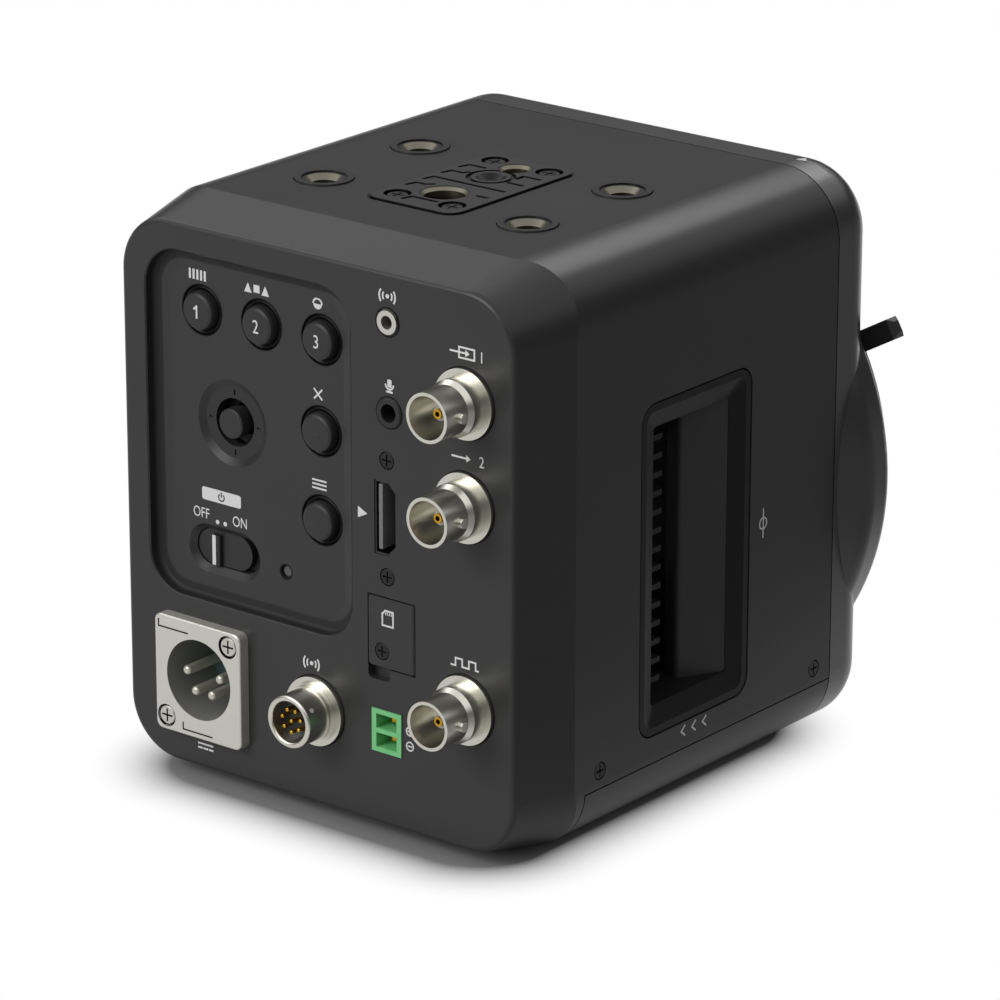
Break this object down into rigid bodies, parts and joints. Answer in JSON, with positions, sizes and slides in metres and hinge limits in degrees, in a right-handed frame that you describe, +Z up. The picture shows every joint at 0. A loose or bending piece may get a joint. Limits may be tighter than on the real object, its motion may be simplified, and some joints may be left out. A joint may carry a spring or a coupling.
{
  "type": "box video camera",
  "caption": "Box-shaped video camera body with a round lens mount, lock ring, side air vents, mounting sockets and a rear panel of buttons and connectors.",
  "frame": {"origin": "mouth of the small tripod socket in the base, on the middle plane", "axes": "+Z up, +Y forwards along the lens axis, +X to the right seen from behind the camera"},
  "size_m": [0.1122, 0.1287, 0.1163],
  "materials": {
    "casing_paint": "fine satin black paint on cast magnesium",
    "front_paint": "satin black paint",
    "plate_black": "matte black anodised plate",
    "black_screw": "black zinc",
    "bushing_metal": "dark plated steel",
    "mount_steel": "turned stainless steel",
    "lock_black": "black anodised aluminium",
    "button_black": "matte black button",
    "plastic_black": "matte black plastic",
    "vent_black": "satin black plastic",
    "nickel": "satin nickel plating",
    "gold": "gold plating",
    "inlet_metal": "pale satin metal",
    "insert_black": "black insulator",
    "core_white": "white insulating core",
    "terminal_green": "green moulded plastic",
    "light_lens": "clear light pipe",
    "board_green": "green circuit board",
    "sensor_black": "ceramic sensor package",
    "sensor_glass": "coated cover glass",
    "sink_metal": "plain extruded aluminium",
    "frame_metal": "cast inner frame"
  },
  "bodies": {
    "camera": {"main_casing": "casing_paint", "base_cover": "casing_paint", "front_cover": "front_paint", "case_screws": "black_screw", "lens_mount_ring": "mount_steel", "lens_mount_screws": "mount_steel", "mount_contact_block": "plastic_black", "mount_contact_pins": "gold", "light_baffle": "plastic_black", "sensor_glass": "sensor_glass", "image_sensor": "sensor_black", "sensor_board": "board_green", "sensor_heat_sink": "sink_metal", "inner_frame": "frame_metal", "main_board": "board_green", "rear_board": "board_green", "fan_frame": "plastic_black", "intake_frame": "vent_black", "intake_slats": "vent_black", "intake_deflector": "vent_black", "outlet_grille": "vent_black", "top_mount_plate": "plate_black", "base_mount_plate": "plate_black", "mount_plate_screws": "black_screw", "mounting_bushings": "bushing_metal", "joystick_bezel": "plastic_black", "status_light": "light_lens", "remote_jack": "nickel", "microphone_jack": "plastic_black", "coax_connector_1": "nickel", "coax_connector_2": "nickel", "coax_connector_3": "nickel", "coax_insulators": "core_white", "coax_contacts": "gold", "video_port_shell": "nickel", "video_port_tongue": "insert_black", "card_socket": "plastic_black", "terminal_block": "terminal_green", "terminal_pins": "gold", "control_connector_shell": "nickel", "control_connector_insert": "insert_black", "control_connector_pins": "gold", "power_inlet_plate": "inlet_metal", "power_inlet_insert": "insert_black", "power_inlet_pins": "nickel", "power_inlet_screws": "nickel"},
    "button_1": {"button_1": "button_black"},
    "button_2": {"button_2": "button_black"},
    "button_3": {"button_3": "button_black"},
    "cancel_button": {"cancel_button": "button_black"},
    "menu_button": {"menu_button": "button_black"},
    "stick_gimbal": {"joystick_gimbal": "plastic_black"},
    "stick_yoke": {"joystick_yoke": "plastic_black"},
    "stick_cap": {"joystick_cap": "button_black"},
    "power_slider": {"power_slider": "plastic_black"},
    "card_door": {"card_door": "casing_paint"},
    "card_screw": {"card_door_screw": "black_screw"},
    "lock_ring": {"lens_lock_ring": "lock_black"},
    "fan": {"fan_rotor": "plastic_black"}
  },
  "joints": [
    {"name": "button_1_press", "type": "slide", "parent": "camera", "child": "button_1", "axis": [0, 1, 0], "range_m": [0, 0.0008], "stiffness_N_per_m": 400},
    {"name": "button_2_press", "type": "slide", "parent": "camera", "child": "button_2", "axis": [0, 1, 0], "range_m": [0, 0.0008], "stiffness_N_per_m": 400},
    {"name": "button_3_press", "type": "slide", "parent": "camera", "child": "button_3", "axis": [0, 1, 0], "range_m": [0, 0.0008], "stiffness_N_per_m": 400},
    {"name": "cancel_button_press", "type": "slide", "parent": "camera", "child": "cancel_button", "axis": [0, 1, 0], "range_m": [0, 0.0008], "stiffness_N_per_m": 400},
    {"name": "menu_button_press", "type": "slide", "parent": "camera", "child": "menu_button", "axis": [0, 1, 0], "range_m": [0, 0.0008], "stiffness_N_per_m": 400},
    {"name": "stick_left_right", "type": "hinge", "parent": "camera", "child": "stick_gimbal", "pos_m": [-0.0228, -0.0519, 0.0745], "axis": [0, 0, 1], "range_deg": [-8, 8], "stiffness_Nm_per_rad": 0.05},
    {"name": "stick_up_down", "type": "hinge", "parent": "stick_gimbal", "child": "stick_yoke", "pos_m": [-0.0228, -0.0519, 0.0745], "axis": [1, 0, 0], "range_deg": [-8, 8], "stiffness_Nm_per_rad": 0.05},
    {"name": "stick_press", "type": "slide", "parent": "stick_yoke", "child": "stick_cap", "axis": [0, 1, 0], "range_m": [0, 0.0005], "stiffness_N_per_m": 400},
    {"name": "power_slide", "type": "slide", "parent": "camera", "child": "power_slider", "axis": [1, 0, 0], "range_m": [0, 0.002]},
    {"name": "card_door_hinge", "type": "hinge", "parent": "camera", "child": "card_door", "pos_m": [0.0235, -0.05965, 0.04215], "axis": [0, 0, 1], "range_deg": [0, 100]},
    {"name": "card_screw_turn", "type": "hinge", "parent": "card_door", "child": "card_screw", "pos_m": [0.0164, -0.0605, 0.0383], "axis": [0, 1, 0], "range_deg": [0, 720]},
    {"name": "lock_ring_turn", "type": "hinge", "parent": "camera", "child": "lock_ring", "pos_m": [0, 0.0535, 0.0515], "axis": [0, 1, 0], "range_deg": [0, 35]},
    {"name": "fan_spin", "type": "hinge", "parent": "camera", "child": "fan", "pos_m": [-0.0433, -0.009, 0.0515], "axis": [1, 0, 0], "continuous": true}
  ]
}
